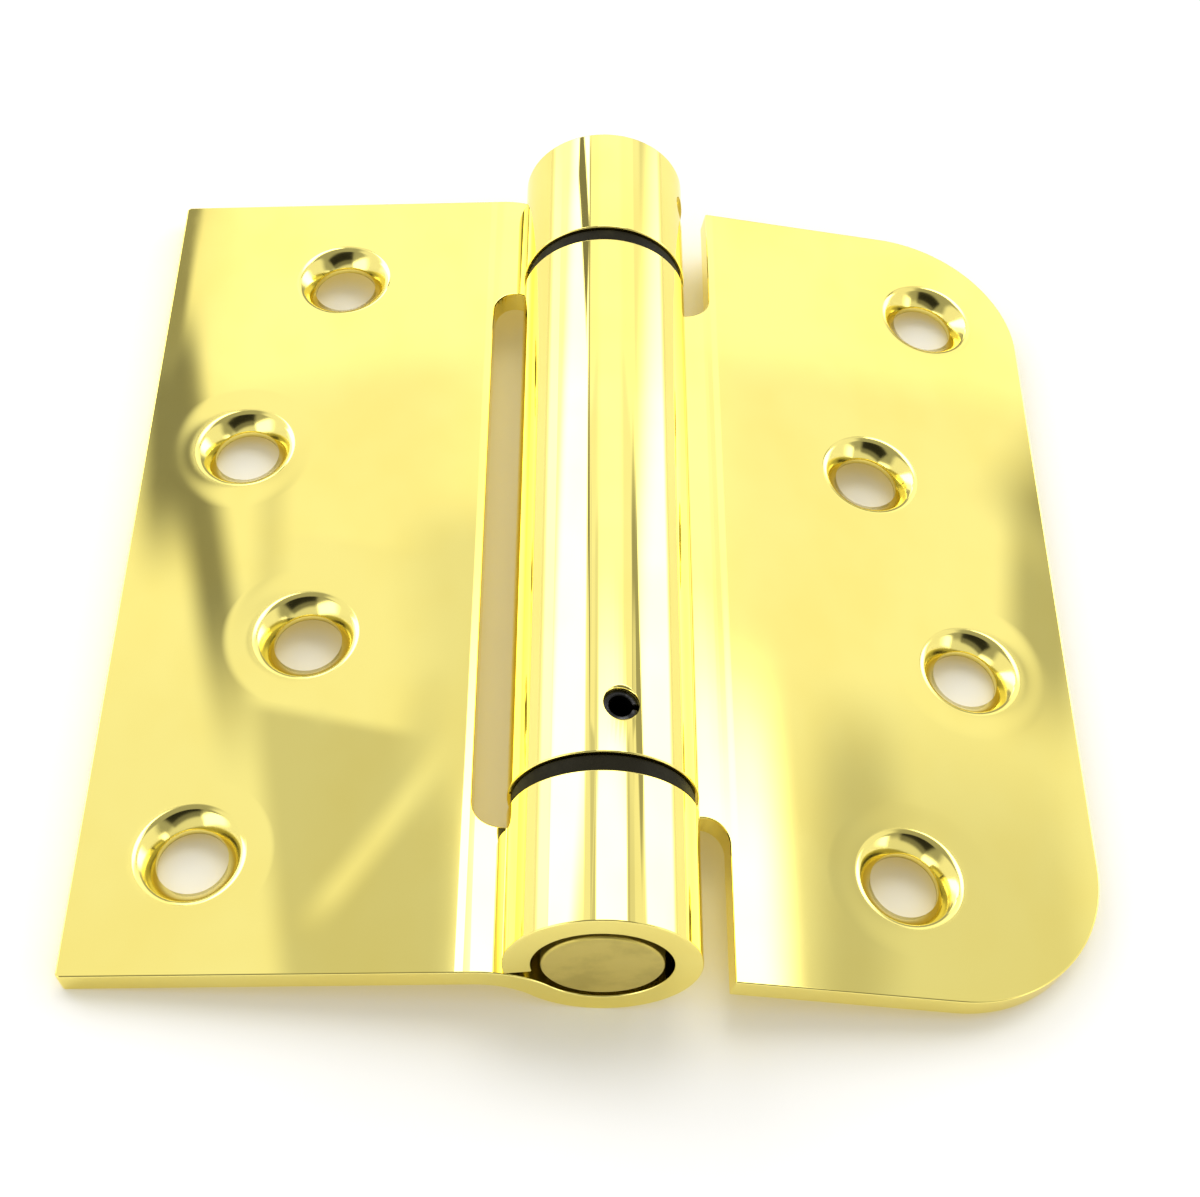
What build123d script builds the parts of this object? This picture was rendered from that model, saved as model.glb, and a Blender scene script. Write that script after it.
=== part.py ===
from build123d import *

import os
from math import acos, asin, atan2, cos, degrees, hypot, pi, radians, sin, sqrt, tan

# Spring hinge: two folded steel leaves whose rolled knuckles hold a torsion spring.
# Millimetres, +Z up. The barrel lies along Y with its axis on the origin, top end towards +Y.
# The hinge lies open on its back, so the barrel and the outer edge of each leaf touch Z = -barrel_radius.
# Each leaf is drawn flat and to the right of the axis, then turned into place.

# Leaves
hinge_length = 101.6
leaf_width = 50.8
sheet = 2.67
axis_height = 1.0
swage_radius = 7.0
seam_gap = 0.12
slot_offset = 12.8
slot_corner_radius = 2.8
round_corner_radius = 15.875
square_corner_radius = 0.5
edge_chamfer = 0.25

# Barrel
barrel_radius = 9.27
end_knuckle_length = 15.4
knuckle_gap = 1.9

# Screw holes, staggered between two columns, the outer one set in from the leaf's outer edge
hole_pitch = 25.4
hole_margin = 11.05
column_spacing = 9.0
screw_hole_radius = 3.55
countersink_radius = 5.2
countersink_angle = 82.0
countersink_rim_chamfer = 0.35

# Flanged bearings between the knuckles
bearing_flange_radius = 8.9
bearing_wall = 0.8
bearing_sleeve_length = 8.0
bearing_end_float = 0.05
bearing_edge_chamfer = 0.3
bearing_press_clearance = 0.01

# Plugs
running_clearance = 0.05
plug_end_float = 0.05
plug_edge_chamfer = 0.3
anchor_head_length = 12.0
adjuster_head_length = 10.0
adjuster_recess = 0.6
spigot_length = 8.0
spigot_clearance = 0.35
tang_slot_depth = 4.2
tang_slot_clearance = 0.15

# Anchor pin, a slotted spring pin
anchor_pin_offset = 5.5
anchor_pin_radius = 1.7
anchor_pin_wall = 0.55
anchor_pin_slot = 0.6
anchor_pin_length = 12.0
anchor_pin_recess = 0.6
pin_hole_clearance = 0.01

# Tension adjustment
hex_socket_width = 4.76
hex_socket_depth = 6.0
pin_socket_count = 6
pin_socket_radius = 1.6
pin_socket_depth = 2.2
window_height = 3.7
window_from_end = 5.2
window_first_angle = 27.0
window_last_angle = -63.0

# Torsion spring, wound left-handed from wire of rectangular section
wire_depth = 2.2
wire_height = 2.8
spring_bore_clearance = 0.15
coil_gap = 0.3
coil_flats = 14
spring_end_gap = 0.15
tang_inside_radius = 0.15
tang_length = 3.0

# Worked out from the sizes above
half_length = hinge_length / 2
bore_radius = barrel_radius - sheet
leaf_top = -axis_height
leaf_bottom = -axis_height - sheet
outer_column = leaf_width - hole_margin
inner_column = outer_column - column_spacing
end_knuckle_face = half_length - end_knuckle_length
middle_knuckle_face = end_knuckle_face - knuckle_gap
bearing_outer_radius = bore_radius - bearing_press_clearance
bearing_inner_radius = bearing_outer_radius - bearing_wall
journal_radius = bearing_inner_radius - running_clearance
head_radius = bore_radius - running_clearance
head_face = middle_knuckle_face - plug_end_float
anchor_spring_face = -head_face + anchor_head_length
adjuster_spring_face = head_face - adjuster_head_length
tang_bend_radius = tang_inside_radius + wire_height / 2
tang_reach = tang_bend_radius + wire_height / 2
coil_radius = sqrt((bore_radius - spring_bore_clearance) ** 2 - tang_reach**2) - wire_depth / 2
spigot_radius = coil_radius - wire_depth / 2 - spigot_clearance
anchor_pin_place = -middle_knuckle_face + anchor_pin_offset
window_place = half_length - window_from_end
ALIGN_FOOT = (Align.CENTER, Align.CENTER, Align.MIN)

# Each leaf droops until the chamfer of its outer edge lies level with the underside of the barrel
edge_reach = leaf_width - edge_chamfer
edge_drop = axis_height + sheet
droop = degrees(asin(barrel_radius / hypot(edge_reach, edge_drop)) - atan2(edge_drop, edge_reach))


def bend_angles():
    """Angles of the bend that carries the flat sheet under the barrel, and of the rolled end.

    Returns the bend's angle, the distance of the bend's centre from the barrel axis, and the
    angle about the axis at which the rolled sheet stops just above the bend.
    """
    neutral_radius = swage_radius + sheet / 2
    centre_distance = barrel_radius - sheet / 2 + neutral_radius
    bend = acos((neutral_radius + axis_height + sheet / 2) / centre_distance)
    reach = swage_radius + sheet + seam_gap
    opening = acos(
        (centre_distance**2 + barrel_radius**2 - reach**2) / (2 * centre_distance * barrel_radius)
    )
    return degrees(bend), centre_distance, degrees(bend + opening) - 90


def leaf_section():
    """Section of a leaf across the barrel: flat sheet, bend under the barrel, and rolled knuckle."""
    bend, distance, roll_end = bend_angles()
    centre = (distance * sin(radians(bend)), -distance * cos(radians(bend)))
    roll_start = bend - 90
    sweep_angle = 360 - (roll_end - roll_start)
    tip = (cos(radians(roll_end)), sin(radians(roll_end)))
    with BuildSketch(Plane.XZ) as section:
        with BuildLine():
            Line((leaf_width, leaf_bottom), (leaf_width, leaf_top))
            Line((leaf_width, leaf_top), (centre[0], leaf_top))
            CenterArc(centre, swage_radius + sheet, 90, bend)
            CenterArc((0, 0), bore_radius, roll_start, -sweep_angle)
            Line((bore_radius * tip[0], bore_radius * tip[1]), (barrel_radius * tip[0], barrel_radius * tip[1]))
            CenterArc((0, 0), barrel_radius, roll_end, sweep_angle)
            CenterArc(centre, swage_radius, 90 + bend, -bend)
            Line((centre[0], leaf_bottom), (leaf_width, leaf_bottom))
        make_face()
    return section.sketch


def clearing(y_low, y_high, rounded):
    """Block that clears the space of the other leaf's knuckle, with its listed ends rounded."""
    width = slot_offset + 2 * barrel_radius
    with BuildPart() as block:
        with BuildSketch(Plane.XY):
            with Locations((slot_offset - width / 2, (y_low + y_high) / 2)):
                Rectangle(width, y_high - y_low)
        extrude(amount=2 * barrel_radius, both=True)
        corners = [
            edge
            for edge in block.edges().filter_by(Axis.Z)
            if abs(edge.center().X - slot_offset) < 0.01 and min(abs(edge.center().Y - y) for y in rounded) < 0.01
        ]
        fillet(corners, slot_corner_radius)
    return block.part


def screw_hole(column, row):
    """Countersunk screw hole, as the solid that is cut from a leaf."""
    cone_depth = (countersink_radius - screw_hole_radius) / tan(radians(countersink_angle / 2))
    with BuildPart() as tool:
        with BuildSketch(Plane.XZ):
            with BuildLine():
                Polyline(
                    (0, leaf_bottom - sheet),
                    (screw_hole_radius, leaf_bottom - sheet),
                    (screw_hole_radius, leaf_top - cone_depth),
                    (countersink_radius, leaf_top),
                    (countersink_radius, leaf_top + sheet),
                    (0, leaf_top + sheet),
                    close=True,
                )
            make_face()
        revolve(axis=Axis.Z)
    return Pos(column, row, 0) * tool.part


def flat_leaf(corner_radius, clearings):
    """Leaf to the right of the axis, lying flat, with its knuckles, corners and screw holes."""
    leaf = Pos(0, half_length, 0) * extrude(leaf_section(), hinge_length)
    for block in clearings:
        leaf -= block
    corners = [edge for edge in leaf.edges().filter_by(Axis.Z) if edge.center().X > leaf_width - 0.01]
    leaf = fillet(corners, corner_radius)
    outline = [
        edge
        for edge in leaf.edges()
        if edge.center().X > slot_offset - slot_corner_radius
        and min(abs(edge.center().Z - leaf_top), abs(edge.center().Z - leaf_bottom)) < 0.001
        and edge.bounding_box().size.Z < 0.001
        and not (edge.center().X < slot_offset + 1 and edge.geom_type == GeomType.CIRCLE)
        and not (edge.center().X < slot_offset - 0.1)
        and not (abs(edge.center().X - slot_offset) < 0.01)
    ]
    leaf = chamfer(outline, edge_chamfer)
    rows = [hole_pitch * (1.5 - index) for index in range(4)]
    for index, row in enumerate(rows):
        leaf -= screw_hole(outer_column if index % 2 == 0 else inner_column, row)
    rims = [
        edge
        for edge in leaf.edges().filter_by(GeomType.CIRCLE)
        if abs(edge.radius - countersink_radius) < 0.001 and abs(edge.center().Z - leaf_top) < 0.001
    ]
    return chamfer(rims, countersink_rim_chamfer)


def square_leaf():
    """Left leaf: square corners, rolled into the two end knuckles, with the adjuster's window."""
    slot = clearing(-end_knuckle_face, end_knuckle_face, (-end_knuckle_face, end_knuckle_face))
    leaf = Rot(0, -droop, 0) * Rot(0, 0, 180) * flat_leaf(square_corner_radius, [slot])
    return leaf - adjuster_window()


def round_leaf():
    """Right leaf: rounded corners, rolled into the middle knuckle, drilled for the anchor pin."""
    margin = half_length + sheet
    notches = [
        clearing(middle_knuckle_face, margin, (middle_knuckle_face,)),
        clearing(-margin, -middle_knuckle_face, (-middle_knuckle_face,)),
    ]
    leaf = flat_leaf(round_corner_radius, notches)
    hole = Cylinder(anchor_pin_radius + pin_hole_clearance, barrel_radius, align=ALIGN_FOOT)
    leaf -= Pos(0, anchor_pin_place, barrel_radius / 2) * hole
    return Rot(0, droop, 0) * leaf


def along_y(solid, start):
    """Solid of revolution drawn along Z, laid along the barrel with its foot at Y = start."""
    return Pos(0, start, 0) * Rot(-90, 0, 0) * solid


def adjuster_window():
    """Slot through the top knuckle's wall, from its first to its last angle, with round ends."""
    middle = (bore_radius + barrel_radius) / 2
    ring = Cylinder(barrel_radius + sheet, window_height) - Cylinder(middle - sheet, window_height)
    span = window_first_angle - window_last_angle - 2 * degrees(window_height / 2 / barrel_radius)
    reach = 4 * barrel_radius
    with BuildPart() as wedge:
        with BuildSketch(Plane.XY):
            with BuildLine():
                Line((0, 0), (reach * cos(radians(span / 2)), reach * sin(radians(span / 2))))
                CenterArc((0, 0), reach, span / 2, -span)
                Line((reach * cos(radians(span / 2)), -reach * sin(radians(span / 2))), (0, 0))
            make_face()
        extrude(amount=window_height, both=True)
    slot = ring & wedge.part
    for side in (-1, 1):
        end = Rot(0, 0, side * span / 2) * Pos(middle, 0, 0) * Rot(0, 90, 0)
        slot += end * Cylinder(window_height / 2, 2 * sheet)
    turned = Rot(0, -(window_first_angle + window_last_angle) / 2, 0) * Rot(-90, 0, 0) * slot
    return Pos(0, window_place, 0) * turned


def bearing():
    """Flanged bearing drawn along Z: the flange lies between two knuckles, the sleeve in one."""
    flange = Cylinder(bearing_flange_radius, knuckle_gap - 2 * bearing_end_float, align=ALIGN_FOOT)
    flange = chamfer(flange.edges().filter_by(GeomType.CIRCLE), bearing_edge_chamfer)
    body = flange + Cylinder(
        bearing_outer_radius, knuckle_gap - 2 * bearing_end_float + bearing_sleeve_length, align=ALIGN_FOOT
    )
    return body - Cylinder(bearing_inner_radius, 2 * (knuckle_gap + bearing_sleeve_length))


def coil_size():
    """Length of the coil's centre line between the two plugs, and its number of turns."""
    length = adjuster_spring_face - anchor_spring_face - 2 * spring_end_gap - wire_height
    return length, length / (wire_height + coil_gap)


def tang_frame(side):
    """Where a tang leaves the coil: point, direction out of the coil, and direction of the tang.

    side is -1 at the anchor plug and 1 at the adjusting plug.
    """
    length, turns = coil_size()
    middle = (adjuster_spring_face + anchor_spring_face) / 2
    angle = side * turns * pi
    rise = length / (turns * 2 * pi * coil_radius)
    point = Vector(coil_radius * cos(angle), middle + side * length / 2, coil_radius * sin(angle))
    tangent = Vector(-sin(angle), rise, cos(angle)).normalized() * side
    return point, tangent, Vector(0, side, 0)


def tang_bend(side):
    """End of a tang's bend, where it turns straight along the barrel, and the bend's centre."""
    point, tangent, outward = tang_frame(side)
    across = (outward - tangent * outward.dot(tangent)).normalized()
    centre = point + across * tang_bend_radius
    level = (tangent - outward * tangent.dot(outward)).normalized()
    return centre + level * tang_bend_radius, centre


def tang_path(side):
    """Centre line of a tang: a tight bend out of the coil, then a straight end in the plug's slot."""
    point, tangent, outward = tang_frame(side)
    corner, _ = tang_bend(side)
    bend = Edge.make_tangent_arc(point, tangent, corner)
    return Wire([bend, Edge.make_line(corner, corner + outward * tang_length)])


def coil_section(angle, height):
    """Corners of the wire's section in the plane through the barrel axis at an angle of the coil."""
    corners = []
    for across, along in ((-1, -1), (1, -1), (1, 1), (-1, 1)):
        radius = coil_radius + across * wire_depth / 2
        corners.append(Vector(radius * cos(angle), height + along * wire_height / 2, radius * sin(angle)))
    return corners


def coil():
    """Left-handed coil of the spring, in flat faces: coil_flats of them to a turn."""
    length, turns = coil_size()
    middle = (adjuster_spring_face + anchor_spring_face) / 2
    count = round(turns * coil_flats)
    sections = []
    for index in range(count + 1):
        share = index / count - 0.5
        sections.append(coil_section(share * turns * 2 * pi, middle + share * length))
    outlines = [sections[0], sections[-1]]
    for low, high in zip(sections, sections[1:]):
        for side in range(4):
            following = (side + 1) % 4
            a, b, c, d = low[side], low[following], high[following], high[side]
            outlines += [[a, b, c, d]] if side % 2 else [[a, b, c], [a, c, d]]
    return Solid(Shell([Face(Wire.make_polygon(outline, close=True)) for outline in outlines]))


def torsion_spring():
    """Left-handed coil with a tang at each end."""
    spring = coil()
    for side in (-1, 1):
        point, tangent, _ = tang_frame(side)
        section = Plane(point, x_dir=Vector(point.X, 0, point.Z), z_dir=tangent)
        spring += sweep(section * Rectangle(wire_depth, wire_height), tang_path(side))
    return spring


def tang_slot(side):
    """Slot in a plug's head that takes a tang, open at the rim."""
    point, _, outward = tang_frame(side)
    corner, _ = tang_bend(side)
    depth = wire_depth + 2 * tang_slot_clearance
    width = wire_height + 2 * tang_slot_clearance
    block = Box(depth + bore_radius, width, 2 * tang_slot_depth, align=(Align.MIN, Align.CENTER, Align.CENTER))
    mouth = Vector(corner.X, anchor_spring_face if side < 0 else adjuster_spring_face, corner.Z)
    return Plane(mouth, x_dir=Vector(point.X, 0, point.Z), z_dir=outward) * Pos(-depth / 2, 0, 0) * block


def plug_blank(head_length, journal_length):
    """Turned plug drawn along Z from its journal's end: journal, head, and spigot for the coil."""
    journal = Cylinder(journal_radius, journal_length + head_length / 2, align=ALIGN_FOOT)
    journal = chamfer(journal.edges().group_by(Axis.Z)[0], plug_edge_chamfer)
    head = Pos(0, 0, journal_length) * Cylinder(head_radius, head_length, align=ALIGN_FOOT)
    spigot = Cylinder(spigot_radius, spigot_length + head_length / 2, align=ALIGN_FOOT)
    return journal + head + Pos(0, 0, journal_length + head_length / 2) * spigot


def anchor_plug():
    """Plug pinned in the middle knuckle, whose journal turns in the bottom knuckle."""
    plug = along_y(plug_blank(anchor_head_length, half_length - head_face), -half_length)
    pin_hole = Cylinder(anchor_pin_radius + pin_hole_clearance, 4 * barrel_radius)
    return plug - tang_slot(-1) - Pos(0, anchor_pin_place, 0) * Rot(0, droop, 0) * pin_hole


def adjusting_plug():
    """Plug that winds the spring: hex socket in its end, and pin sockets behind the window."""
    blank = plug_blank(adjuster_head_length, half_length - adjuster_recess - head_face)
    socket_place = window_from_end - adjuster_recess
    with BuildPart() as socket:
        with BuildSketch(Plane.XY):
            RegularPolygon(hex_socket_width / 2, 6, major_radius=False)
        extrude(amount=hex_socket_depth)
    blank -= socket.part
    for index in range(pin_socket_count):
        hole = Pos(journal_radius, 0, socket_place) * Rot(0, 90, 0) * Cylinder(pin_socket_radius, 2 * pin_socket_depth)
        blank -= Rot(0, 0, index * 360 / pin_socket_count) * hole
    plug = Pos(0, half_length - adjuster_recess, 0) * Rot(90, 0, 0) * blank
    return plug - tang_slot(1)


def anchor_pin():
    """Slotted spring pin, set a little below the surface of the middle knuckle."""
    pin = Cylinder(anchor_pin_radius, anchor_pin_length) - Cylinder(
        anchor_pin_radius - anchor_pin_wall, 2 * anchor_pin_length
    )
    pin -= Pos(anchor_pin_radius, 0, 0) * Box(2 * anchor_pin_radius, anchor_pin_slot, 2 * anchor_pin_length)
    depth = barrel_radius - anchor_pin_recess - anchor_pin_length / 2
    return Rot(0, droop, 0) * Pos(0, anchor_pin_place, depth) * pin


lower_bearing_start = -middle_knuckle_face - bearing_end_float
nodes = {
    "square_leaf": square_leaf(),
    "round_leaf": round_leaf(),
    "lower_bearing": Pos(0, lower_bearing_start, 0) * Rot(90, 0, 0) * bearing(),
    "upper_bearing": along_y(bearing(), -lower_bearing_start),
    "anchor_plug": anchor_plug(),
    "anchor_pin": anchor_pin(),
    "torsion_spring": torsion_spring(),
    "adjusting_plug": adjusting_plug(),
}

os.makedirs("parts", exist_ok=True)
for name, solid in nodes.items():
    export_step(solid, f"parts/{name}.step")
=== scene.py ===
import logging
from dataclasses import dataclass, field, replace
from enum import Enum
from math import acos, cos, degrees, hypot, pi, radians, sin, sqrt, tan
from typing import Iterable, Sequence

import bmesh
import bpy
from mathutils import Matrix, Vector


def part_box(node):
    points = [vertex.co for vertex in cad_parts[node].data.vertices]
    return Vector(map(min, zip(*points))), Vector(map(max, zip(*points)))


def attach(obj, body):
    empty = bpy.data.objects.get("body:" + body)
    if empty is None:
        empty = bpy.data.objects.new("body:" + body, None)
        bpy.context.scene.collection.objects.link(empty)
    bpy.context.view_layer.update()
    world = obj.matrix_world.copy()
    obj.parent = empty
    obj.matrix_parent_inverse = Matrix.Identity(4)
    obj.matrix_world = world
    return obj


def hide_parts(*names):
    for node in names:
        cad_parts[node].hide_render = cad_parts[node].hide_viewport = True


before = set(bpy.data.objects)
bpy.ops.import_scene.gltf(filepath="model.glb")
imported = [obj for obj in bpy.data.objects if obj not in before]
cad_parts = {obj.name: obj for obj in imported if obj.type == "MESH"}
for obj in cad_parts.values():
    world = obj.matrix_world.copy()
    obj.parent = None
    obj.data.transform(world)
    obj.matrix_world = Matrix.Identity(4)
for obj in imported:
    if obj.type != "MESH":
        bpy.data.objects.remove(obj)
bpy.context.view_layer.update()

LOG = logging.getLogger("spring_hinge")

BMesh = bmesh.types.BMesh
Socket = bpy.types.NodeSocket
Pair = tuple[float, float]
Triple = tuple[float, float, float]
Colour = tuple[float, float, float, float]

# Lengths are written in millimetres and angles in degrees; meshes are made in metres.
MM = 0.001
ALONG = Vector((0.0, 1.0, 0.0))
WHITE = (1.0, 1.0, 1.0, 1.0)
# Vertices are taken as one, or as on a line, within this many metres
CLOSE = 1e-7
# How far a cutter reaches past the face that it cuts
OVERCUT = 1.0
# Steps round a large turned piece
ROUND_STEPS = 128
# Least angle of a corner that is rounded on a turned piece
CORNER = 40.0
# Edges under this angle are shaded as smooth
SMOOTH_UNDER = 50.0
# How strongly large faces rule the shading of small ones beside them
FACE_WEIGHT = 80

HINGE_LENGTH = (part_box("square_leaf")[1].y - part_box("square_leaf")[0].y) / MM
BARREL_RADIUS = -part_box("square_leaf")[0].z / MM
HALF_LENGTH = HINGE_LENGTH / 2
PHOTO_WIDTH = 1200


class Slot(Enum):
    """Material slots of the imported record."""

    BRIGHT_BRASS = "bright_brass"
    DULL_BRASS = "dull_brass"
    NYLON = "black_nylon"
    BLACK_STEEL = "black_steel"
    SPRING_STEEL = "spring_steel"


def polar(radius: float, angle: float) -> Pair:
    """Point across the barrel at a radius and an angle from +X towards +Z."""
    return radius * cos(radians(angle)), radius * sin(radians(angle))


def spun(
    bm: BMesh, geometry: Sequence, centre: Sequence[float], axis: Sequence[float], angle: float, steps: int
) -> list:
    """Spin geometry and return what the spin ends on.

    Args:
        bm: Mesh that holds the geometry.
        geometry: Vertices, edges or faces to spin.
        centre: Point on the axis, in millimetres.
        axis: Direction of the axis.
        angle: Angle of the spin, right-handed about the axis.
        steps: Number of steps.

    Returns:
        The vertices, edges and faces at the end of the spin.
    """
    options = {"cent": Vector(centre) * MM, "axis": axis, "angle": radians(angle), "steps": steps}
    result = bmesh.ops.spin(bm, geom=list(geometry), use_merge=False, use_duplicate=False, **options)
    return result["geom_last"]


def extruded(bm: BMesh, faces: Sequence, move: Sequence[float]) -> list:
    """Extrude faces along a move given in millimetres, and return the new end's geometry."""
    result = bmesh.ops.extrude_face_region(bm, geom=list(faces))["geom"]
    ends = [item for item in result if isinstance(item, bmesh.types.BMVert)]
    bmesh.ops.translate(bm, verts=ends, vec=Vector(move) * MM)
    return result


def cleaned(bm: BMesh) -> None:
    """Merge doubles and turn all faces outwards."""
    bmesh.ops.remove_doubles(bm, verts=bm.verts[:], dist=CLOSE)
    bmesh.ops.recalc_face_normals(bm, faces=bm.faces[:])


def sharp_edges(bm: BMesh, least: float = 25.0) -> list:
    """Edges whose two faces meet at more than an angle."""
    paired = (edge for edge in bm.edges if len(edge.link_faces) == 2)
    return [edge for edge in paired if edge.calc_face_angle(0.0) > radians(least)]


def through_edges(bm: BMesh, distance: float) -> list:
    """Edges that run through the sheet at a distance from the axis, in the flat drawing."""
    found = []
    for edge in bm.edges:
        first, second = (vert.co for vert in edge.verts)
        offsets = (first.x - distance * MM, second.x - distance * MM, first.y - second.y)
        if all(abs(offset) < 10 * CLOSE for offset in offsets):
            found.append(edge)
    return found


def softened(bm: BMesh, edges: Sequence, width: float, segments: int = 3) -> None:
    """Round edges to a width in millimetres."""
    options = {"offset_type": "OFFSET", "profile": 0.5, "affect": "EDGES", "clamp_overlap": False}
    bmesh.ops.bevel(bm, geom=list(edges), offset=width * MM, segments=segments, material=-1, **options)


def turned(profile: Sequence[Pair], steps: int, closed: bool = False) -> BMesh:
    """Turn a profile round the barrel's axis.

    Args:
        profile: Points as (radius, place along the axis), in millimetres.
        steps: Number of steps in the whole turn.
        closed: Whether the profile is the section of a ring, and not of a solid round the axis.

    Returns:
        The turned mesh.
    """
    bm = bmesh.new()
    points = [bm.verts.new((radius * MM, place * MM, 0.0)) for radius, place in profile]
    pairs = list(zip(points, points[1:])) + ([(points[-1], points[0])] if closed else [])
    geometry = points + [bm.edges.new(pair) for pair in pairs]
    options = {"cent": (0.0, 0.0, 0.0), "axis": ALONG, "angle": 2 * pi, "steps": steps}
    bmesh.ops.spin(bm, geom=geometry, use_merge=True, use_duplicate=False, **options)
    cleaned(bm)
    return bm


def upright(centre: Sequence[float]) -> Matrix:
    """Transform that stands a turned shape up at a point given in millimetres."""
    return Matrix.Translation(Vector(centre) * MM) @ Matrix.Rotation(pi / 2, 4, "X")


def bar(radius: float, length: float, sides: int = 48) -> BMesh:
    """Upright bar with a number of sides, centred on the origin, in millimetres."""
    bm = bmesh.new()
    sizes = {"radius1": radius * MM, "radius2": radius * MM, "depth": length * MM}
    bmesh.ops.create_cone(bm, cap_ends=True, segments=sides, **sizes)
    return bm


def drilled(radius: float, length: float, centre: Sequence[float], axis: Sequence[float]) -> BMesh:
    """Round bar that cuts a plain hole, in millimetres, centred on a point along an axis."""
    bm = bar(radius, length)
    turn = Vector((0.0, 0.0, 1.0)).rotation_difference(Vector(axis)).to_matrix().to_4x4()
    bm.transform(Matrix.Translation(Vector(centre) * MM) @ turn)
    return bm


def block(low: Sequence[float], high: Sequence[float]) -> BMesh:
    """Block between two corners, in millimetres."""
    bm = bmesh.new()
    bmesh.ops.create_cube(bm, size=1.0)
    size = Vector(high) - Vector(low)
    middle = (Vector(high) + Vector(low)) / 2
    bmesh.ops.scale(bm, vec=size * MM, verts=bm.verts[:])
    bmesh.ops.translate(bm, vec=middle * MM, verts=bm.verts[:])
    return bm


def made(name: str, bm: BMesh) -> bpy.types.Object:
    """Make an object of a mesh and link it to the scene."""
    mesh = bpy.data.meshes.new(name)
    bm.to_mesh(mesh)
    bm.free()
    piece = bpy.data.objects.new(name, mesh)
    bpy.context.scene.collection.objects.link(piece)
    return piece


def applied(piece: bpy.types.Object) -> None:
    """Replace a piece's mesh by what its modifiers make of it, and drop the modifiers."""
    graph = bpy.context.evaluated_depsgraph_get()
    mesh = bpy.data.meshes.new_from_object(piece.evaluated_get(graph))
    piece.modifiers.clear()
    old, piece.data = piece.data, mesh
    bpy.data.meshes.remove(old)


def cut(piece: bpy.types.Object, cutters: Iterable[BMesh]) -> None:
    """Cut shapes out of a piece, one after the other."""
    for cutter in cutters:
        cutter.normal_update()
        bmesh.ops.recalc_face_normals(cutter, faces=cutter.faces[:])
        tool = made("cutter", cutter)
        modifier = piece.modifiers.new("cut", "BOOLEAN")
        modifier.operation = "DIFFERENCE"
        modifier.solver = "EXACT"
        modifier.object = tool
        applied(piece)
        mesh = tool.data
        bpy.data.objects.remove(tool)
        bpy.data.meshes.remove(mesh)


def reworked(piece: bpy.types.Object, width: float) -> None:
    """Round every sharp edge of a piece."""
    bm = bmesh.new()
    bm.from_mesh(piece.data)
    bmesh.ops.remove_doubles(bm, verts=bm.verts[:], dist=2 * CLOSE)
    bmesh.ops.dissolve_degenerate(bm, edges=bm.edges[:], dist=10 * CLOSE)
    softened(bm, sharp_edges(bm), width)
    bm.to_mesh(piece.data)
    bm.free()


def dressed(
    piece: bpy.types.Object, finish: bpy.types.Material, body: str, node: str
) -> bpy.types.Object:
    """Shade a piece smooth, give it its finish and tie it to the frame.

    Args:
        piece: The finished piece.
        finish: Its material.
        body: The CAD body that it rides on.
        node: The CAD node that it stands for.

    Returns:
        The piece.
    """
    piece.data.shade_smooth()
    piece.data.set_sharp_from_angle(angle=radians(SMOOTH_UNDER))
    weights = piece.modifiers.new("weights", "WEIGHTED_NORMAL")
    weights.mode = "FACE_AREA"
    weights.weight = FACE_WEIGHT
    weights.keep_sharp = True
    piece.data.materials.clear()
    piece.data.materials.append(finish)
    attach(piece, body)
    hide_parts(node)
    LOG.info("%s: %d faces", piece.name, len(piece.data.polygons))
    return piece


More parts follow.
